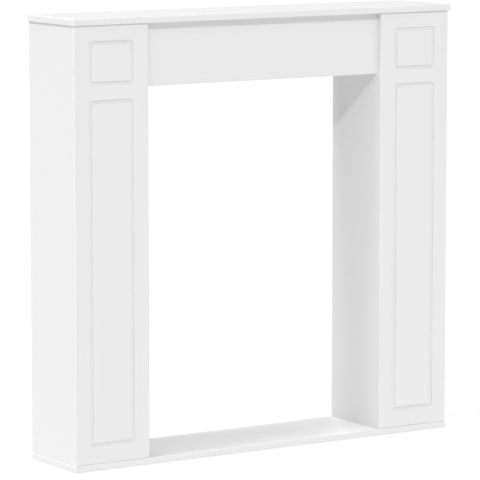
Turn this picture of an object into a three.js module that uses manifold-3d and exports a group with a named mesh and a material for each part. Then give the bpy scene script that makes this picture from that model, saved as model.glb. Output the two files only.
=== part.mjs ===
// A free-standing fireplace mantelpiece of painted boards: two hollow pilasters with grooved
// fronts, a set-back frieze between them, a base board below and a mantel shelf on top.
// Millimetres, +Z up. X runs along the shelf, and the front looks towards -Y.
// The origin is on the floor, under the middle of the shelf.

import * as THREE from 'three';
import { mergeVertices } from 'three/addons/utils/BufferGeometryUtils.js';
import Module from 'manifold-3d';

const wasm = await Module();
wasm.setup();

// Overall sizes
const totalHeight = 1000;
const bodyWidth = 1008;
const bodyDepth = 195;
const pilasterWidth = 190;
const friezeHeight = 140;

// Board thicknesses
const shelfThickness = 15;
const baseThickness = 15;
const frontThickness = 15;
const sideThickness = 15;
const friezeThickness = 15;

// How far the shelf and the base stand out past the body
const shelfFrontOverhang = 5;
const shelfSideOverhang = 4;
const baseFrontOverhang = 1;
const baseSideOverhang = 1;

// Rounded edges
const shelfEdgeRadius = 2;
const baseEdgeRadius = 2;
const frontEdgeRadius = 2;
const friezeEdgeRadius = 1.5;
const roundingSteps = 4;

// Routed frames on each pilaster front: a low one above a tall one
const frameSideMargin = 38;
const frameTopMargin = 35;
const frameBottomMargin = 39;
const upperFrameHeight = 97;
const frameGap = 32;
const grooveWidth = 8;
const grooveDepth = 3;
const grooveFloorFillet = 0.8;
const grooveInnerRadius = 1;
const cornerSteps = 6;

// Levels and planes that the boards share
const shelfUnderside = totalHeight - shelfThickness;
const pilasterHeight = shelfUnderside - baseThickness;
const shelfDepth = bodyDepth + shelfFrontOverhang;
const wallPlane = shelfDepth / 2;
const frontPlane = wallPlane - bodyDepth;
const sideFrontEdge = frontPlane + frontThickness;
const openingWidth = bodyWidth - 2 * pilasterWidth;

const whitePaint = new THREE.MeshStandardMaterial({ color: 0xf1f1f0, roughness: 0.5, metalness: 0 });

// A closed geometry as a solid that can be cut.
function toSolid(geometry) {
  const bare = geometry.clone();
  bare.deleteAttribute('normal');
  bare.deleteAttribute('uv');
  const merged = mergeVertices(bare, 1e-4);
  const vertProperties = new Float32Array(merged.attributes.position.array);
  const triVerts = new Uint32Array(merged.index.array);
  return new wasm.Manifold(new wasm.Mesh({ numProp: 3, vertProperties, triVerts }));
}

// A cut solid as a geometry.
function toGeometry(solid) {
  const mesh = solid.getMesh();
  const geometry = new THREE.BufferGeometry();
  geometry.setAttribute('position', new THREE.BufferAttribute(new Float32Array(mesh.vertProperties), 3));
  geometry.setIndex(new THREE.BufferAttribute(new Uint32Array(mesh.triVerts), 1));
  geometry.computeVertexNormals();
  return geometry;
}

// A box between two corners.
function boxBetween(low, high) {
  const size = new THREE.Vector3().subVectors(high, low);
  const centre = new THREE.Vector3().addVectors(low, high).multiplyScalar(0.5);
  return new THREE.BoxGeometry(size.x, size.y, size.z).translate(centre.x, centre.y, centre.z);
}

// A rectangle about the origin, its corners rounded where a radius is given.
function rectangle(path, width, height, radius) {
  const x = width / 2;
  const y = height / 2;
  path.moveTo(-x + radius, -y);
  path.lineTo(x - radius, -y);
  path.absarc(x - radius, -y + radius, radius, -Math.PI / 2, 0, false);
  path.lineTo(x, y - radius);
  path.absarc(x - radius, y - radius, radius, 0, Math.PI / 2, false);
  path.lineTo(-x + radius, y);
  path.absarc(-x + radius, y - radius, radius, Math.PI / 2, Math.PI, false);
  path.lineTo(-x, -y + radius);
  path.absarc(-x + radius, -y + radius, radius, Math.PI, 1.5 * Math.PI, false);
  return path;
}

// A plate about the origin in X and Y, up from z = 0, with both faces' edges rounded.
function roundedPlate(width, depth, thickness, radius) {
  const x = width / 2 - radius;
  const y = depth / 2 - radius;
  const outline = new THREE.Shape([
    new THREE.Vector2(-x, -y),
    new THREE.Vector2(x, -y),
    new THREE.Vector2(x, y),
    new THREE.Vector2(-x, y),
  ]);
  return new THREE.ExtrudeGeometry(outline, {
    depth: thickness - 2 * radius,
    bevelEnabled: true,
    bevelThickness: radius,
    bevelSize: radius,
    bevelSegments: roundingSteps,
  }).translate(0, 0, radius);
}

// The mantel shelf or the base board: front and end edges rounded, the wall edge square.
// The plate is made longer at the wall and cut square there.
function horizontalBoard(name, width, depth, thickness, edgeRadius) {
  const radius = Math.min(edgeRadius, thickness / 3);
  const spare = 2 * radius;
  const plate = toSolid(roundedPlate(width, depth + spare, thickness, radius).translate(0, spare / 2, 0));
  const beyondWall = toSolid(boxBetween(
    new THREE.Vector3(-width, depth / 2, -thickness),
    new THREE.Vector3(width, depth / 2 + 2 * spare, 2 * thickness),
  ));
  const board = new THREE.Mesh(toGeometry(plate.subtract(beyondWall)), whitePaint);
  board.name = name;
  board.position.y = wallPlane - depth / 2;
  return board;
}

// The cutter for one routed frame, in the plane of the panel's face and reaching the groove's depth.
function frameCutter(width, height) {
  const fillet = Math.min(grooveFloorFillet, grooveDepth / 2, grooveWidth / 4);
  const outer = rectangle(
    new THREE.Shape(),
    width - 2 * fillet,
    height - 2 * fillet,
    grooveInnerRadius + grooveWidth - fillet,
  );
  outer.holes.push(rectangle(
    new THREE.Path(),
    width - 2 * (grooveWidth - fillet),
    height - 2 * (grooveWidth - fillet),
    grooveInnerRadius + fillet,
  ));
  return new THREE.ExtrudeGeometry(outer, {
    depth: 2 * grooveDepth - 2 * fillet,
    bevelEnabled: true,
    bevelThickness: fillet,
    bevelSize: fillet,
    bevelSegments: 2,
    curveSegments: cornerSteps,
  }).translate(0, 0, fillet - grooveDepth);
}

// A pilaster's front panel: its four face edges rounded, with the two frames routed into it.
// It is made lying on its back, face up, and then stood upright.
function pilasterFront(name) {
  const radius = Math.min(frontEdgeRadius, frontThickness / 3);
  const plate = toSolid(
    roundedPlate(pilasterWidth, pilasterHeight, frontThickness + 2 * radius, radius)
      .translate(0, 0, -frontThickness - 2 * radius),
  );
  const behind = toSolid(boxBetween(
    new THREE.Vector3(-pilasterWidth, -pilasterHeight, -frontThickness - 4 * radius),
    new THREE.Vector3(pilasterWidth, pilasterHeight, -frontThickness),
  ));
  const frameWidth = pilasterWidth - 2 * frameSideMargin;
  const lowerFrameHeight = pilasterHeight - frameTopMargin - upperFrameHeight - frameGap - frameBottomMargin;
  const frames = [
    { height: upperFrameHeight, y: pilasterHeight / 2 - frameTopMargin - upperFrameHeight / 2 },
    { height: lowerFrameHeight, y: -pilasterHeight / 2 + frameBottomMargin + lowerFrameHeight / 2 },
  ];
  let panel = plate.subtract(behind);
  for (const frame of frames) {
    panel = panel.subtract(toSolid(frameCutter(frameWidth, frame.height).translate(0, frame.y, 0)));
  }
  const front = new THREE.Mesh(toGeometry(panel).rotateX(Math.PI / 2), whitePaint);
  front.name = name;
  front.position.set(0, frontPlane, pilasterHeight / 2);
  return front;
}

// One side board of a pilaster, from the front panel's back to the wall.
function sideBoard(name, x) {
  const board = new THREE.Mesh(
    boxBetween(
      new THREE.Vector3(-sideThickness / 2, sideFrontEdge, 0),
      new THREE.Vector3(sideThickness / 2, wallPlane, pilasterHeight),
    ),
    whitePaint,
  );
  board.name = name;
  board.position.x = x;
  return board;
}

// A pilaster: a front panel on two side boards, open at the wall. side is -1 for left, 1 for right.
function pilaster(label, side) {
  const group = new THREE.Group();
  const sideOffset = (pilasterWidth - sideThickness) / 2;
  group.add(pilasterFront(`pilaster_front_${label}`));
  group.add(sideBoard(`outer_side_${label}`, side * sideOffset));
  group.add(sideBoard(`inner_side_${label}`, -side * sideOffset));
  group.position.set(side * (bodyWidth - pilasterWidth) / 2, 0, baseThickness);
  return group;
}

// The frieze: a board between the inner sides, under the shelf, in line with the sides' front edges.
function friezeBoard(name) {
  const radius = Math.min(friezeEdgeRadius, friezeThickness / 2);
  const section = new THREE.Shape();
  section.moveTo(0, friezeHeight);
  section.lineTo(0, radius);
  section.absarc(radius, radius, radius, Math.PI, 1.5 * Math.PI, false);
  section.lineTo(friezeThickness, 0);
  section.lineTo(friezeThickness, friezeHeight);
  const geometry = new THREE.ExtrudeGeometry(section, {
    depth: openingWidth,
    bevelEnabled: false,
    curveSegments: roundingSteps,
  });
  // The section's x becomes depth, its y height, and the extrusion runs along the shelf.
  geometry.rotateX(Math.PI / 2).rotateZ(Math.PI / 2).translate(-openingWidth / 2, 0, 0);
  const board = new THREE.Mesh(geometry, whitePaint);
  board.name = name;
  board.position.set(0, sideFrontEdge, shelfUnderside - friezeHeight);
  return board;
}

const mantelpiece = new THREE.Group();

const base = horizontalBoard(
  'base_board',
  bodyWidth + 2 * baseSideOverhang,
  bodyDepth + baseFrontOverhang,
  baseThickness,
  baseEdgeRadius,
);
mantelpiece.add(base);

mantelpiece.add(pilaster('left', -1));
mantelpiece.add(pilaster('right', 1));
mantelpiece.add(friezeBoard('frieze_board'));

const shelf = horizontalBoard(
  'mantel_shelf',
  bodyWidth + 2 * shelfSideOverhang,
  shelfDepth,
  shelfThickness,
  shelfEdgeRadius,
);
shelf.position.z = shelfUnderside;
mantelpiece.add(shelf);

export default mantelpiece;
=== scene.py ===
"""A white painted fireplace mantelpiece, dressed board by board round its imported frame.

Metres, +Z up. X runs along the shelf, the front looks towards -Y, and the origin is on the floor
under the middle of the shelf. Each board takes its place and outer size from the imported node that
it stands for. Its rounded arrises, and the routed frames on the two pilaster fronts, are added here.
"""

import logging
import math
from dataclasses import dataclass, field
from enum import Enum
from typing import Any, Mapping, Sequence, Union

import bmesh
import bpy
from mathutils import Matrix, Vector


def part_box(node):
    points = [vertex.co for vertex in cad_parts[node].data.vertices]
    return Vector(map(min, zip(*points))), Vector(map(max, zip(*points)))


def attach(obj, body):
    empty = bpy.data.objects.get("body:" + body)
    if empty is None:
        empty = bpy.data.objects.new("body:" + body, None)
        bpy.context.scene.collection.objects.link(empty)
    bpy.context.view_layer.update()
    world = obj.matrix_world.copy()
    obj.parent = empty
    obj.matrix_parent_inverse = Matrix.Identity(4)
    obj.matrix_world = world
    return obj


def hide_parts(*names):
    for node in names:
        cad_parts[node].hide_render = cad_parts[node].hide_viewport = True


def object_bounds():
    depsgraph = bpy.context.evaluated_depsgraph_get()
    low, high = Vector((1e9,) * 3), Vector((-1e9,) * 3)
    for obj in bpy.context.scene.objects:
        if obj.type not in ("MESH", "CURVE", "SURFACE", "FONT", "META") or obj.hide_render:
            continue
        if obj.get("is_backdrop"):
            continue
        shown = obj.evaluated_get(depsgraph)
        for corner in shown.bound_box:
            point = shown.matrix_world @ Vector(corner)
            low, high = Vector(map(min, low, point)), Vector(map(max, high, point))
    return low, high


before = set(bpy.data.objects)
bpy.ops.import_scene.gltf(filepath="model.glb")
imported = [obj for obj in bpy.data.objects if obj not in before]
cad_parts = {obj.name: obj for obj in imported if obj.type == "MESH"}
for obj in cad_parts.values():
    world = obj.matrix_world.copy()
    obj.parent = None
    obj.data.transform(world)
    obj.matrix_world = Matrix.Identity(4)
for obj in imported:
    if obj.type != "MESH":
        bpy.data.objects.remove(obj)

log = logging.getLogger("mantelpiece")

BODY = "root"
MM = 0.001

Value = Union[float, int, bpy.types.NodeSocket]


class Facing(Enum):
    """The side of the mantelpiece that a board's plain, hidden face looks to."""

    LEFT = (-1.0, 0.0, 0.0)
    RIGHT = (1.0, 0.0, 0.0)
    WALL = (0.0, 1.0, 0.0)
    FLOOR = (0.0, 0.0, -1.0)


class Lie(Enum):
    """How a board lies, as the world axes of its length, its width and its thickness."""

    FLAT = (0, 1, 2)
    EDGEWAYS = (1, 2, 0)
    UPRIGHT = (0, 2, 1)


class NodeGraph:
    """Adds and links the nodes of one tree, so that a tree reads as a list of steps."""

    def __init__(self, tree: bpy.types.NodeTree) -> None:
        """Starts on a tree.

        Args:
            tree: The node tree to add to.
        """
        self.tree = tree

    def add(self, kind: str, inputs: Mapping[Any, Any] | None = None, **settings: Any) -> bpy.types.Node:
        """Adds one node.

        Args:
            kind: The node's type, as bpy names it.
            inputs: What goes into each input, by its name or its number: a socket is linked, and
                anything else is set on the input itself.
            **settings: The node's own settings.

        Returns:
            The new node.
        """
        node = self.tree.nodes.new(kind)
        for name, value in settings.items():
            setattr(node, name, value)
        for key, value in (inputs or {}).items():
            self.feed(node.inputs[key], value)
        return node

    def feed(self, socket: bpy.types.NodeSocket, value: Any) -> None:
        """Links a socket into an input, or sets the input to a plain value.

        Args:
            socket: The input.
            value: A socket, a number, a vector or a material.
        """
        if isinstance(value, bpy.types.NodeSocket):
            self.tree.links.new(value, socket)
        else:
            socket.default_value = value

    def math(self, operation: str, first: Value, second: Value = 0.0) -> bpy.types.NodeSocket:
        """Adds a Math node.

        Args:
            operation: The node's operation.
            first: The first operand.
            second: The second operand.

        Returns:
            The result's socket.
        """
        return self.add("ShaderNodeMath", {0: first, 1: second}, operation=operation).outputs[0]

    def vector(self, x: Value, y: Value, z: Value = 0.0) -> bpy.types.NodeSocket:
        """Makes a vector from three numbers or sockets."""
        return self.add("ShaderNodeCombineXYZ", {0: x, 1: y, 2: z}).outputs[0]


@dataclass(frozen=True)
class PaintFinish:
    """A coat of white paint on fibreboard.

    The sizes are in metres on the object. A stipple is the fine pitting that a sprayed coat dries
    with, and a ripple is the slow waviness of the board under it.
    """

    name: str
    colour: tuple[float, float, float]
    tone_drift: float
    drift_size: float
    roughness: float
    roughness_drift: float
    stipple_size: float
    stipple_height: float
    ripple_size: float
    ripple_height: float
    grain_stretch: float = 1.0
    specular: float = 0.45
    drift_detail: float = 3.0
    stipple_detail: float = 2.0
    ripple_detail: float = 1.0
    pit_share: float = 0.35

    def material(self) -> bpy.types.Material:
        """Builds the finish's material.

        Returns:
            The material, with its pattern on the object's own coordinates.
        """
        material = bpy.data.materials.new(self.name)
        material.use_nodes = True
        material.node_tree.nodes.clear()
        graph = NodeGraph(material.node_tree)
        place = graph.add("ShaderNodeTexCoord").outputs["Object"]
        drift = self._noise(graph, place, self.drift_size, self.drift_detail)
        grain = (1.0, 1.0, 1.0 / self.grain_stretch)
        stretched = graph.add("ShaderNodeMapping", {"Vector": place, "Scale": grain})
        stipple = self._noise(graph, stretched.outputs[0], self.stipple_size, self.stipple_detail)
        ripple = self._noise(graph, place, self.ripple_size, self.ripple_detail)
        shader = graph.add("ShaderNodeBsdfPrincipled", {
            "Base Color": self._tone(graph, drift, stipple),
            "Roughness": self._spread(graph, drift, self.roughness, self.roughness_drift),
            "Normal": self._relief(graph, stipple, ripple),
            "Specular IOR Level": self.specular,
        })
        graph.add("ShaderNodeOutputMaterial", {"Surface": shader.outputs[0]})
        return material

    @staticmethod
    def _noise(
        graph: NodeGraph, place: bpy.types.NodeSocket, size: float, detail: float
    ) -> bpy.types.NodeSocket:
        """Adds a noise whose blotches have a given size in metres.

        Args:
            graph: The material's tree.
            place: The coordinates that the noise is read at.
            size: The blotches' size.
            detail: How many finer octaves lie on it.

        Returns:
            The noise's factor, from 0 to 1.
        """
        noise = graph.add("ShaderNodeTexNoise", {"Vector": place, "Scale": 1.0 / size, "Detail": detail})
        return noise.outputs[0]

    @staticmethod
    def _spread(
        graph: NodeGraph, factor: bpy.types.NodeSocket, middle: float, spread: float
    ) -> bpy.types.NodeSocket:
        """Turns a factor from 0 to 1 into a value about a middle.

        Args:
            graph: The material's tree.
            factor: The factor.
            middle: The middle value.
            spread: How far the value goes to either side.

        Returns:
            The value's socket.
        """
        limits = {"Value": factor, "To Min": middle - spread, "To Max": middle + spread}
        return graph.add("ShaderNodeMapRange", limits).outputs[0]

    def _tone(
        self, graph: NodeGraph, drift: bpy.types.NodeSocket, stipple: bpy.types.NodeSocket
    ) -> bpy.types.NodeSocket:
        """Mixes the coat's colour: a slow drift, and a trace more in the stipple's pits.

        Args:
            graph: The material's tree.
            drift: The slow noise.
            stipple: The fine noise.

        Returns:
            The colour's socket.
        """
        blend = graph.math("MULTIPLY_ADD", stipple, self.pit_share)
        graph.feed(blend.node.inputs[2], graph.math("MULTIPLY", drift, 1.0 - self.pit_share))
        thin = tuple(channel * (1.0 - self.tone_drift) for channel in self.colour)
        thick = tuple(channel * (1.0 + self.tone_drift) for channel in self.colour)
        mix = graph.add("ShaderNodeMix", {"Factor": blend}, data_type="RGBA")
        colours = [socket for socket in mix.inputs if socket.type == "RGBA"]
        colours[0].default_value = (*thin, 1.0)
        colours[1].default_value = (*thick, 1.0)
        return next(socket for socket in mix.outputs if socket.type == "RGBA")

    def _relief(
        self, graph: NodeGraph, stipple: bpy.types.NodeSocket, ripple: bpy.types.NodeSocket
    ) -> bpy.types.NodeSocket:
        """Adds the coat's fine relief.

        Args:
            graph: The material's tree.
            stipple: The fine noise.
            ripple: The slow noise.

        Returns:
            The normal's socket.
        """
        waves = graph.add("ShaderNodeBump", {
            "Height": ripple,
            "Distance": self.ripple_height,
            "Strength": 1.0,
        })
        pits = graph.add("ShaderNodeBump", {
            "Height": stipple,
            "Distance": self.stipple_height,
            "Strength": 1.0,
            "Normal": waves.outputs[0],
        })
        return pits.outputs[0]


SATIN = PaintFinish(
    name="white_satin_paint",
    colour=(0.75, 0.75, 0.75),
    tone_drift=0.006,
    drift_size=0.16,
    roughness=0.46,
    roughness_drift=0.05,
    stipple_size=0.0016,
    stipple_height=0.000008,
    ripple_size=0.035,
    ripple_height=0.00004,
)
PRIMER = PaintFinish(
    name="plain_primer_coat",
    colour=(0.775, 0.772, 0.762),
    tone_drift=0.03,
    drift_size=0.05,
    roughness=0.68,
    roughness_drift=0.05,
    stipple_size=0.0011,
    stipple_height=0.00003,
    ripple_size=0.02,
    ripple_height=0.00004,
    grain_stretch=7.0,
)


class MeshFinisher:
    """Closes, turns and shades the mesh of one board, and gives its faces their finishes."""

    crease: float = math.radians(31.0)
    weld: float = 0.000002
    flat: float = 0.999999

    def __init__(self, hidden: Facing | None) -> None:
        """Starts for one board.

        Args:
            hidden: The side that the board's plain face looks to, or None where every face is painted.
        """
        self.hidden = hidden

    def finish(self, mesh: bpy.types.Mesh, finishes: Sequence[bpy.types.Material]) -> None:
        """Welds the mesh, points its faces outwards, and sets its shading and materials.

        Flat faces stay flat, and only the rounded ones between them are shaded smooth.

        Args:
            mesh: The board's mesh, changed in place.
            finishes: The painted finish, and the plain one of the hidden face.
        """
        mesh.materials.clear()
        for finish in finishes:
            mesh.materials.append(finish)
        work = bmesh.new()
        work.from_mesh(mesh)
        bmesh.ops.remove_doubles(work, verts=work.verts, dist=self.weld)
        bmesh.ops.recalc_face_normals(work, faces=work.faces)
        for face in work.faces:
            face.normal_update()
            largest = max(abs(part) for part in face.normal)
            face.smooth = largest < self.flat
            face.material_index = int(self._is_hidden(face))
        for edge in work.edges:
            edge.smooth = not edge.is_manifold or edge.calc_face_angle() < self.crease
        open_edges = sum(not edge.is_manifold for edge in work.edges)
        work.to_mesh(mesh)
        work.free()
        if open_edges:
            log.warning("%s has %d open edges", mesh.name, open_edges)

    def _is_hidden(self, face: bmesh.types.BMFace) -> bool:
        """Says whether a face looks to the hidden side."""
        return self.hidden is not None and face.normal.dot(Vector(self.hidden.value)) > self.flat


def show_piece(name: str, mesh: bpy.types.Mesh, node: str) -> bpy.types.Object:
    """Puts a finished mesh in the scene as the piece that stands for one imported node.

    Args:
        name: The piece's name.
        mesh: Its mesh, with its place in its vertices.
        node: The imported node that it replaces.

    Returns:
        The piece.
    """
    piece = bpy.data.objects.new(name, mesh)
    bpy.context.scene.collection.objects.link(piece)
    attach(piece, BODY)
    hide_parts(node)
    return piece


@dataclass(frozen=True)
class Arrises:
    """Radii of the four arrises round one face of a board, in metres.

    They are at the face's low and high side along the board's length, and along its width.
    """

    length_low: float
    length_high: float
    width_low: float
    width_high: float

    def radii(self) -> tuple[float, float, float, float]:
        """Returns the four radii in the order of the fields."""
        return (self.length_low, self.length_high, self.width_low, self.width_high)


@dataclass
class Board:
    """One plain board with rounded arrises, made as a stack of outlines through its thickness."""

    name: str
    node: str
    lie: Lie
    low_face: Arrises
    high_face: Arrises
    hidden: Facing | None = None
    low_corner: float = 0.2 * MM
    high_corner: float = 0.2 * MM
    arris_steps: int = 8
    corner_steps: int = 4

    def build(self, finishes: Sequence[bpy.types.Material]) -> bpy.types.Object:
        """Builds the board and dresses it.

        Args:
            finishes: The painted finish, and the plain one of the hidden face.

        Returns:
            The piece.
        """
        low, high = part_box(self.node)
        rings = [
            [self._place(point, level) for point in self._outline(low, high, insets)]
            for level, insets in self._levels(low, high)
        ]
        count = len(rings[0])
        corners = [corner for ring in rings for corner in ring]
        faces: list[list[int]] = [list(range(count)), list(range(len(corners) - count, len(corners)))]
        for ring in range(len(rings) - 1):
            start = ring * count
            for step in range(count):
                along = (step + 1) % count
                faces.append([start + step, start + along, start + count + along, start + count + step])
        mesh = bpy.data.meshes.new(self.name)
        mesh.from_pydata(corners, [], faces)
        MeshFinisher(self.hidden).finish(mesh, finishes)
        return show_piece(self.name, mesh, self.node)

    def _place(self, point: tuple[float, float], level: float) -> tuple[float, ...]:
        """Turns a point along length, width and thickness into world axes.

        Args:
            point: The point's places along the board's length and width.
            level: Its place through the board's thickness.

        Returns:
            The point in world axes.
        """
        place = [0.0, 0.0, 0.0]
        for axis, value in zip(self.lie.value, (*point, level)):
            place[axis] = value
        return tuple(place)

    def _levels(self, low: Vector, high: Vector) -> list[tuple[float, tuple[float, ...]]]:
        """Lists the outlines' levels through the thickness, each with its four insets.

        Args:
            low: The board's lowest corner.
            high: The board's highest corner.

        Returns:
            Each level, and how far its outline lies inside the board's on each of the four sides.
        """
        axis = self.lie.value[2]
        up = [(low[axis] + depth, insets) for depth, insets in self._steps(self.low_face)]
        down = [(high[axis] - depth, insets) for depth, insets in self._steps(self.high_face)]
        return up + down[::-1]

    def _steps(self, face: Arrises) -> list[tuple[float, tuple[float, ...]]]:
        """Lists the depths under a face at which its rounded arrises have a step.

        Args:
            face: The radii of the arrises round the face.

        Returns:
            Each depth, and the inset there on each of the four sides.
        """
        same_depth_digits = 9
        turn = math.pi / 2 / self.arris_steps
        depths = sorted({
            round(radius * (1.0 - math.cos(step * turn)), same_depth_digits)
            for radius in face.radii()
            for step in range(self.arris_steps + 1)
        })
        return [(depth, tuple(self._inset(radius, depth) for radius in face.radii())) for depth in depths]

    @staticmethod
    def _inset(radius: float, depth: float) -> float:
        """Gives how far a quarter-round arris lies inside the board's side at a depth under its face."""
        rise = max(radius - depth, 0.0)
        return radius - math.sqrt(radius * radius - rise * rise)

    def _outline(self, low: Vector, high: Vector, insets: Sequence[float]) -> list[tuple[float, float]]:
        """Makes one outline, a rectangle with its four corners rounded.

        Args:
            low: The board's lowest corner.
            high: The board's highest corner.
            insets: How far the outline lies inside the board's on each of the four sides.

        Returns:
            The outline's points along the board's length and width.
        """
        length, width, _ = self.lie.value
        left, right = low[length] + insets[0], high[length] - insets[1]
        near, far = low[width] + insets[2], high[width] - insets[3]
        corners = (
            (right, far, self.high_corner, 0.0),
            (left, far, self.high_corner, 0.5),
            (left, near, self.low_corner, 1.0),
            (right, near, self.low_corner, 1.5),
        )
        points = []
        for x, y, radius, start in corners:
            centre_x = x - math.copysign(radius, x - left - radius)
            centre_y = y - math.copysign(radius, y - near - radius)
            for step in range(self.corner_steps + 1):
                angle = math.pi * (start + 0.5 * step / self.corner_steps)
                points.append((centre_x + radius * math.cos(angle), centre_y + radius * math.sin(angle)))
        return points


@dataclass
class HorizontalBoards:
    """The mantel shelf and the base board: front and end arrises rounded, the wall edge nearly square."""

    arris: float = 2.0 * MM
    wall_arris: float = 0.4 * MM
    front_corner: float = 1.5 * MM
    wall_corner: float = 0.3 * MM

    def build(self, finishes: Sequence[bpy.types.Material]) -> list[bpy.types.Object]:
        """Builds both boards.

        Args:
            finishes: The painted finish, and the plain one of hidden faces.

        Returns:
            The two pieces.
        """
        face = Arrises(self.arris, self.arris, self.arris, self.wall_arris)
        boards = [
            self._board("shelf_board", "mantel_shelf", face, None),
            self._board("bottom_board", "base_board", face, Facing.FLOOR),
        ]
        return [board.build(finishes) for board in boards]

    def _board(self, name: str, node: str, face: Arrises, hidden: Facing | None) -> Board:
        """Describes one of the two boards.

        Args:
            name: The piece's name.
            node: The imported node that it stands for.
            face: The arrises round both of its faces.
            hidden: The side that its plain face looks to, or None where every face is painted.

        Returns:
            The board.
        """
        return Board(
            name,
            node,
            Lie.FLAT,
            face,
            face,
            hidden,
            low_corner=self.front_corner,
            high_corner=self.wall_corner,
        )


@dataclass
class PanelTree:
    """The geometry node tree of a pilaster front: a board with two routed frames in its face.

    The panel is made lying on its back about the origin, face up at z = 0, and then stood up. Each
    groove, and the panel's own edge, is a section swept round a rectangle. The flat face between them
    is filled from the sweeps' own borders, so that everything welds into one closed board.
    """

    name: str = "routed_panel"
    group: bpy.types.NodeTree = field(init=False)
    graph: NodeGraph = field(init=False)
    sizes: Mapping[str, bpy.types.NodeSocket] = field(init=False)

    SIZE_NAMES = (
        "Width", "Height", "Thickness", "Face Arris", "Back Arris",
        "Side Margin", "Top Margin", "Bottom Margin", "Upper Frame Height", "Frame Gap",
        "Groove Width", "Groove Depth", "Groove Floor Fillet", "Groove Lip", "Groove Inner Radius",
    )

    def __post_init__(self) -> None:
        """Builds the tree."""
        self.group = bpy.data.node_groups.new(self.name, "GeometryNodeTree")
        self.graph = NodeGraph(self.group)
        for size in self.SIZE_NAMES:
            self.group.interface.new_socket(size, in_out="INPUT", socket_type="NodeSocketFloat")
        self.group.interface.new_socket("Round Steps", in_out="INPUT", socket_type="NodeSocketInt")
        self.group.interface.new_socket("Centre", in_out="INPUT", socket_type="NodeSocketVector")
        self.group.interface.new_socket("Paint", in_out="INPUT", socket_type="NodeSocketMaterial")
        self.group.interface.new_socket("Panel", in_out="OUTPUT", socket_type="NodeSocketGeometry")
        entry = self.graph.add("NodeGroupInput")
        self.sizes = {socket.name: socket for socket in entry.outputs if socket.name}
        self._finish(self._weld(self._sweeps()))

    def _section(
        self, points: Sequence[tuple[Value, Value]], radii: Sequence[Value], steps: Value
    ) -> bpy.types.NodeSocket:
        """Draws a section with rounded corners.

        Args:
            points: Its points: how far out from the path, and how deep under the face.
            radii: The rounding at each point; the two ends' have no effect.
            steps: The points in each rounding.

        Returns:
            The section's curve.
        """
        graph = self.graph
        index = graph.add("GeometryNodeInputIndex").outputs[0]
        places = graph.add("GeometryNodeIndexSwitch", {"Index": index}, data_type="VECTOR")
        rounding = graph.add("GeometryNodeIndexSwitch", {"Index": index}, data_type="FLOAT")
        for switch in (places, rounding):
            while len(switch.index_switch_items) < len(points):
                switch.index_switch_items.new()
        for number, (point, radius) in enumerate(zip(points, radii)):
            graph.feed(places.inputs[str(number)], graph.vector(*point))
            graph.feed(rounding.inputs[str(number)], radius)
        line = graph.add("GeometryNodeMeshLine", {"Count": len(points)})
        curve = graph.add("GeometryNodeMeshToCurve", {"Mesh": line.outputs[0]})
        drawn = graph.add("GeometryNodeSetPosition", {
            "Geometry": curve.outputs[0],
            "Position": places.outputs[0],
        })
        fillet = graph.add("GeometryNodeFilletCurve", {
            "Curve": drawn.outputs[0],
            "Radius": rounding.outputs[0],
        }, mode="POLY")
        graph.feed(fillet.inputs["Count"], steps)
        return fillet.outputs[0]

    def _rectangle(self, width: Value, height: Value, centre_height: Value) -> bpy.types.NodeSocket:
        """Draws a rectangle, moved up or down the panel.

        Args:
            width: Its size across the panel.
            height: Its size up the panel.
            centre_height: How far its middle lies above the panel's middle.

        Returns:
            The rectangle's curve.
        """
        graph = self.graph
        outline = graph.add("GeometryNodeCurvePrimitiveQuadrilateral", {"Width": width, "Height": height})
        move = {"Geometry": outline.outputs[0], "Translation": graph.vector(0.0, centre_height)}
        return graph.add("GeometryNodeTransform", move).outputs[0]

    def _sweep(self, path: bpy.types.NodeSocket, section: bpy.types.NodeSocket) -> bpy.types.NodeSocket:
        """Sweeps a section round a path."""
        swept = {"Curve": path, "Profile Curve": section}
        return self.graph.add("GeometryNodeCurveToMesh", swept).outputs[0]

    def _groove_section(self) -> bpy.types.NodeSocket:
        """Draws the groove's section: square, with a fillet along the floor and a softened lip.

        It starts and ends on the flat face, two lips out from the groove's sides.

        Returns:
            The section's curve.
        """
        graph, size = self.graph, self.sizes
        lips_on_land = 2.0
        half = graph.math("MULTIPLY", size["Groove Width"], 0.5)
        left = graph.math("MULTIPLY", half, -1.0)
        land = graph.math("MULTIPLY_ADD", size["Groove Lip"], lips_on_land)
        graph.feed(land.node.inputs[2], half)
        far_left = graph.math("MULTIPLY", land, -1.0)
        depth, lip, fillet = size["Groove Depth"], size["Groove Lip"], size["Groove Floor Fillet"]
        points = [(far_left, 0.0), (left, 0.0), (left, depth), (half, depth), (half, 0.0), (land, 0.0)]
        return self._section(points, [0.0, lip, fillet, fillet, lip, 0.0], size["Round Steps"])

    def _edge_section(self) -> bpy.types.NodeSocket:
        """Draws the section of the panel's edge, from the face round to the back.

        It is made wider by the root of two, because a sweep round a sharp corner narrows it by as much.

        Returns:
            The section's curve.
        """
        graph, size = self.graph, self.sizes
        spare = 1.4
        face = graph.math("MULTIPLY", size["Face Arris"], -spare)
        back = graph.math("MULTIPLY", size["Back Arris"], -spare)
        points = [(face, 0.0), (0.0, 0.0), (0.0, size["Thickness"]), (back, size["Thickness"])]
        radii = [0.0, size["Face Arris"], size["Back Arris"], 0.0]
        widen = {
            "Geometry": self._section(points, radii, size["Round Steps"]),
            "Scale": (math.sqrt(2.0), 1.0, 1.0),
        }
        return graph.add("GeometryNodeTransform", widen).outputs[0]

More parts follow.
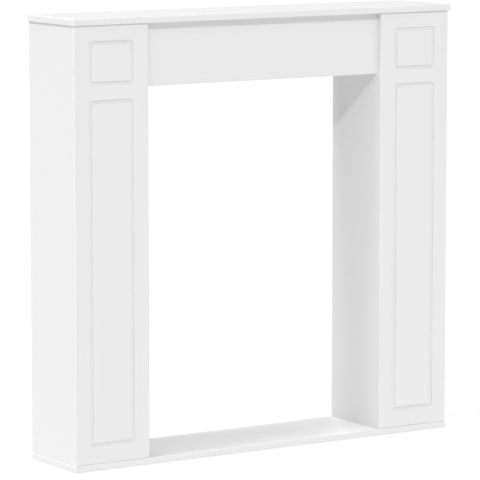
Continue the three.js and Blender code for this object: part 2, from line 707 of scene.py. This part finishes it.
    def _sweeps(self) -> bpy.types.NodeSocket:
        """Sweeps the panel's edge and both routed frames.

        Returns:
            The three sweeps' geometry, still open at their borders.
        """
        graph, size = self.graph, self.sizes
        joined = graph.add("GeometryNodeJoinGeometry")
        edge = self._sweep(self._rectangle(size["Width"], size["Height"], 0.0), self._edge_section())
        graph.feed(joined.inputs[0], edge)
        sides = graph.math("MULTIPLY", size["Side Margin"], 2.0)
        width = graph.math("SUBTRACT", size["Width"], sides)
        top = graph.math("MULTIPLY_ADD", size["Height"], 0.5)
        graph.feed(top.node.inputs[2], graph.math("MULTIPLY", size["Top Margin"], -1.0))
        upper_bottom = graph.math("SUBTRACT", top, size["Upper Frame Height"])
        lower_top = graph.math("SUBTRACT", upper_bottom, size["Frame Gap"])
        bottom = graph.math("MULTIPLY_ADD", size["Height"], -0.5)
        graph.feed(bottom.node.inputs[2], size["Bottom Margin"])
        section = self._groove_section()
        corner = graph.math("MULTIPLY_ADD", size["Groove Width"], 0.5)
        graph.feed(corner.node.inputs[2], size["Groove Inner Radius"])
        for high, low in ((top, upper_bottom), (lower_top, bottom)):
            path = self._rectangle(
                graph.math("SUBTRACT", width, size["Groove Width"]),
                graph.math("SUBTRACT", graph.math("SUBTRACT", high, low), size["Groove Width"]),
                graph.math("MULTIPLY", graph.math("ADD", high, low), 0.5),
            )
            rounded = graph.add("GeometryNodeFilletCurve", {"Curve": path, "Radius": corner}, mode="POLY")
            graph.feed(rounded.inputs["Count"], graph.math("MULTIPLY", size["Round Steps"], 2.0))
            graph.feed(joined.inputs[0], self._sweep(rounded.outputs[0], section))
        return joined.outputs[0]

    def _fill(self, sweeps: bpy.types.NodeSocket, is_face: bool) -> bpy.types.NodeSocket:
        """Fills the flat between the sweeps' borders.

        Args:
            sweeps: The sweeps.
            is_face: True for the face, and False for the back.

        Returns:
            The flat's mesh, at the face's height.
        """
        graph = self.graph
        one_face_only = 1.5
        faces_at_edge = graph.add("GeometryNodeInputMeshEdgeNeighbors").outputs[0]
        border = graph.math("LESS_THAN", faces_at_edge, one_face_only)
        place = graph.add("GeometryNodeInputPosition").outputs[0]
        height = graph.add("ShaderNodeSeparateXYZ", {0: place}).outputs[2]
        middle = graph.math("MULTIPLY", self.sizes["Thickness"], -0.5)
        there = graph.math("GREATER_THAN" if is_face else "LESS_THAN", height, middle)
        chosen = graph.math("MULTIPLY", border, there)
        loops = graph.add("GeometryNodeMeshToCurve", {"Mesh": sweeps, "Selection": chosen})
        return graph.add("GeometryNodeFillCurve", {"Curve": loops.outputs[0]}, mode="NGONS").outputs[0]

    def _weld(self, sweeps: bpy.types.NodeSocket) -> bpy.types.NodeSocket:
        """Adds the flats to the sweeps and welds them into one board.

        Args:
            sweeps: The sweeps.

        Returns:
            The closed board, lying on its back.
        """
        graph = self.graph
        down = graph.vector(0.0, 0.0, graph.math("MULTIPLY", self.sizes["Thickness"], -1.0))
        move = {"Geometry": self._fill(sweeps, is_face=False), "Translation": down}
        back = graph.add("GeometryNodeTransform", move)
        joined = graph.add("GeometryNodeJoinGeometry")
        for shape in (sweeps, self._fill(sweeps, is_face=True), back.outputs[0]):
            graph.feed(joined.inputs[0], shape)
        weld = {"Geometry": joined.outputs[0], "Distance": MeshFinisher.weld}
        return graph.add("GeometryNodeMergeByDistance", weld).outputs[0]

    def _finish(self, panel: bpy.types.NodeSocket) -> None:
        """Stands the panel up in its place and gives it its paint.

        Args:
            panel: The closed board, lying on its back.
        """
        graph = self.graph
        stood = graph.add("GeometryNodeTransform", {
            "Geometry": panel,
            "Rotation": (math.pi / 2, 0.0, 0.0),
            "Translation": self.sizes["Centre"],
        })
        real = graph.add("GeometryNodeRealizeInstances", {"Geometry": stood.outputs[0]})
        painted = graph.add("GeometryNodeSetMaterial", {
            "Geometry": real.outputs[0],
            "Material": self.sizes["Paint"],
        })
        graph.add("NodeGroupOutput", {0: painted.outputs[0]})


@dataclass
class RoutedPanel:
    """A pilaster's front panel, with a low routed frame above a tall one."""

    name: str
    node: str
    face_arris: float = 2.0 * MM
    back_arris: float = 0.15 * MM
    side_margin: float = 38.0 * MM
    top_margin: float = 35.0 * MM
    bottom_margin: float = 39.0 * MM
    upper_frame_height: float = 97.0 * MM
    frame_gap: float = 32.0 * MM
    groove_width: float = 8.0 * MM
    groove_depth: float = 3.0 * MM
    groove_floor_fillet: float = 0.8 * MM
    groove_lip: float = 0.25 * MM
    groove_inner_radius: float = 1.0 * MM
    round_steps: int = 7

    def build(self, tree: PanelTree, finishes: Sequence[bpy.types.Material]) -> bpy.types.Object:
        """Builds the panel and dresses it.

        Args:
            tree: The panel's geometry node tree.
            finishes: The painted finish, and the plain one of the hidden face.

        Returns:
            The piece.
        """
        low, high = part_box(self.node)
        size = high - low
        inputs: dict[str, Any] = {
            "Width": size.x,
            "Height": size.z,
            "Thickness": size.y,
            "Face Arris": self.face_arris,
            "Back Arris": self.back_arris,
            "Side Margin": self.side_margin,
            "Top Margin": self.top_margin,
            "Bottom Margin": self.bottom_margin,
            "Upper Frame Height": self.upper_frame_height,
            "Frame Gap": self.frame_gap,
            "Groove Width": self.groove_width,
            "Groove Depth": self.groove_depth,
            "Groove Floor Fillet": self.groove_floor_fillet,
            "Groove Lip": self.groove_lip,
            "Groove Inner Radius": self.groove_inner_radius,
            "Round Steps": self.round_steps,
            "Centre": ((low.x + high.x) / 2, low.y, (low.z + high.z) / 2),
            "Paint": finishes[0],
        }
        mesh = self._evaluated(tree, inputs)
        MeshFinisher(Facing.WALL).finish(mesh, finishes)
        return show_piece(self.name, mesh, self.node)

    def _evaluated(self, tree: PanelTree, inputs: Mapping[str, Any]) -> bpy.types.Mesh:
        """Runs the tree once and keeps its result as a plain mesh.

        Args:
            tree: The panel's geometry node tree.
            inputs: The value of each of the tree's inputs, by its name.

        Returns:
            The mesh.
        """
        holder = bpy.data.objects.new(f"{self.name}_holder", bpy.data.meshes.new(f"{self.name}_holder"))
        bpy.context.scene.collection.objects.link(holder)
        modifier = holder.modifiers.new("routing", "NODES")
        modifier.node_group = tree.group
        for item in tree.group.interface.items_tree:
            if item.item_type == "SOCKET" and item.in_out == "INPUT":
                modifier[item.identifier] = inputs[item.name]
        depsgraph = bpy.context.evaluated_depsgraph_get()
        mesh = bpy.data.meshes.new_from_object(holder.evaluated_get(depsgraph), depsgraph=depsgraph)
        mesh.name = self.name
        holder.modifiers.clear()
        empty = holder.data
        bpy.data.objects.remove(holder)
        bpy.data.meshes.remove(empty)
        return mesh


@dataclass
class Pilaster:
    """One pilaster: a routed front panel on an outer and an inner side board, open at the wall."""

    label: str
    joint_arris: float = 0.15 * MM
    wall_arris: float = 0.5 * MM

    def build(self, tree: PanelTree, finishes: Sequence[bpy.types.Material]) -> list[bpy.types.Object]:
        """Builds the pilaster's three boards.

        Args:
            tree: The front panel's geometry node tree.
            finishes: The painted finish, and the plain one of hidden faces.

        Returns:
            The three pieces.
        """
        outwards, inwards = Facing.LEFT, Facing.RIGHT
        if self.label == "right":
            outwards, inwards = inwards, outwards
        front = RoutedPanel(f"front_panel_{self.label}", f"pilaster_front_{self.label}")
        return [
            front.build(tree, finishes),
            self._side("outer", inwards).build(finishes),
            self._side("inner", outwards).build(finishes),
        ]

    def _side(self, place: str, hidden: Facing) -> Board:
        """Describes one side board.

        Args:
            place: Which side board it is, "outer" or "inner".
            hidden: The side that its plain face looks to, towards the pilaster's hollow.

        Returns:
            The board.
        """
        face = Arrises(self.joint_arris, self.wall_arris, self.joint_arris, self.joint_arris)
        name, node = f"{place}_side_board_{self.label}", f"{place}_side_{self.label}"
        return Board(name, node, Lie.EDGEWAYS, face, face, hidden)


@dataclass
class Frieze:
    """The board across the top of the opening, with its lower front arris softened."""

    lower_arris: float = 1.5 * MM
    joint_arris: float = 0.15 * MM
    hidden_arris: float = 0.5 * MM

    def build(self, finishes: Sequence[bpy.types.Material]) -> bpy.types.Object:
        """Builds the frieze.

        Args:
            finishes: The painted finish, and the plain one of the hidden face.

        Returns:
            The piece.
        """
        joint = self.joint_arris
        face = Arrises(joint, joint, self.lower_arris, joint)
        back = Arrises(joint, joint, self.hidden_arris, joint)
        board = Board("front_rail", "frieze_board", Lie.UPRIGHT, face, back, Facing.WALL)
        return board.build(finishes)


@dataclass
class Camera:
    """The camera, at the photograph's viewing angle."""

    lens_mm: float = 248.904
    sensor_mm: float = 36.0
    aim: tuple[float, float, float] = (-0.01178, 0.0, 0.47303)
    distance: float = 7.58934
    turn_degrees: float = 33.1155
    tilt_degrees: float = 7.4801
    clip_end: float = 200.0

    def build(self) -> None:
        """Builds the camera and makes it the scene's."""
        data = bpy.data.cameras.new("camera")
        data.lens = self.lens_mm
        data.sensor_width = self.sensor_mm
        data.clip_end = self.clip_end
        camera = bpy.data.objects.new("camera", data)
        turn, tilt = math.radians(self.turn_degrees), math.radians(self.tilt_degrees)
        ahead = Vector((math.sin(turn) * math.cos(tilt), math.cos(turn) * math.cos(tilt), -math.sin(tilt)))
        camera.location = Vector(self.aim) - self.distance * ahead
        camera.rotation_euler = (math.pi / 2 - tilt, 0.0, -turn)
        bpy.context.scene.collection.objects.link(camera)
        bpy.context.scene.camera = camera


@dataclass(frozen=True)
class Lamp:
    """A distant soft light, placed by where it stands as seen from the mantelpiece."""

    name: str
    azimuth_degrees: float
    elevation_degrees: float
    strength: float
    spread_degrees: float

    def build(self) -> None:
        """Builds the light.

        An azimuth of 0 is straight in front of the mantelpiece, and 90 is on its left.
        """
        data = bpy.data.lights.new(self.name, "SUN")
        data.energy = self.strength
        data.angle = math.radians(self.spread_degrees)
        lamp = bpy.data.objects.new(self.name, data)
        around, up = math.radians(self.azimuth_degrees), math.radians(self.elevation_degrees)
        stand = Vector((-math.sin(around) * math.cos(up), -math.cos(around) * math.cos(up), math.sin(up)))
        lamp.rotation_euler = stand.to_track_quat("Z", "Y").to_euler()
        bpy.context.scene.collection.objects.link(lamp)


@dataclass
class Studio:
    """A plain pale floor under soft white light."""

    floor_half_width: float = 40.0
    floor_tone: float = 0.1
    floor_glow: float = 0.895
    sky_strength: float = 0.20
    lamps: tuple[Lamp, ...] = (
        Lamp("key_light", 29.0, 35.2, 0.87, 4.0),
        Lamp("left_light", 90.0, 55.0, 1.46, 13.0),
        Lamp("left_fill", 60.0, 40.0, 0.66, 40.0),
        Lamp("front_fill", 0.0, 25.0, 0.43, 40.0),
        Lamp("right_fill", -45.0, 40.0, 0.47, 40.0),
        Lamp("back_fill", 180.0, 45.0, 1.55, 40.0),
        Lamp("top_fill", 0.0, 89.0, 0.06, 60.0),
    )

    def build(self) -> None:
        """Builds the floor, the sky and the lights."""
        self._floor()
        self._sky()
        for lamp in self.lamps:
            lamp.build()
        bpy.context.scene.view_settings.view_transform = "Standard"

    def _floor(self) -> None:
        """Builds the floor, which glows so that it stays white right up to the object."""
        half = self.floor_half_width
        corners = [(-half, -half, 0.0), (half, -half, 0.0), (half, half, 0.0), (-half, half, 0.0)]
        mesh = bpy.data.meshes.new("floor")
        mesh.from_pydata(corners, [], [(0, 1, 2, 3)])
        floor = bpy.data.objects.new("floor", mesh)
        bpy.context.scene.collection.objects.link(floor)
        material = bpy.data.materials.new("pale_floor")
        material.use_nodes = True
        shader = material.node_tree.nodes["Principled BSDF"]
        shader.inputs["Base Color"].default_value = (self.floor_tone, self.floor_tone, self.floor_tone, 1.0)
        shader.inputs["Roughness"].default_value = 1.0
        shader.inputs["Specular IOR Level"].default_value = 0.0
        shader.inputs["Emission Color"].default_value = (1.0, 1.0, 1.0, 1.0)
        shader.inputs["Emission Strength"].default_value = self.floor_glow
        mesh.materials.append(material)
        floor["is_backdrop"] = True

    def _sky(self) -> None:
        """Builds the even white surroundings."""
        world = bpy.data.worlds.new("studio")
        world.use_nodes = True
        background = world.node_tree.nodes["Background"]
        background.inputs["Color"].default_value = (1.0, 1.0, 1.0, 1.0)
        background.inputs["Strength"].default_value = self.sky_strength
        bpy.context.scene.world = world


def write_sizes(solid_box: Any, visual_box: Any) -> None:
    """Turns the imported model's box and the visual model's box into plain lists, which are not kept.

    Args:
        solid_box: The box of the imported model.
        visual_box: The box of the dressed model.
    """
    boxes = {"cad": solid_box, "visual": visual_box}
    plain = {name: [[float(part) for part in corner] for corner in box] for name, box in boxes.items()}


def main() -> None:
    """Builds the camera, the mantelpiece and the studio, and reports each piece."""
    logging.basicConfig(level=logging.INFO, format="%(name)s: %(message)s")
    solid_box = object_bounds()
    Camera().build()
    finishes = [SATIN.material(), PRIMER.material()]
    pieces = HorizontalBoards().build(finishes)
    tree = PanelTree()
    for label in ("left", "right"):
        pieces += Pilaster(label).build(tree, finishes)
    pieces.append(Frieze().build(finishes))
    for piece in pieces:
        log.info("%s has %d faces", piece.name, len(piece.data.polygons))
    Studio().build()
    write_sizes(solid_box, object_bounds())


if __name__ == "__main__":
    main()
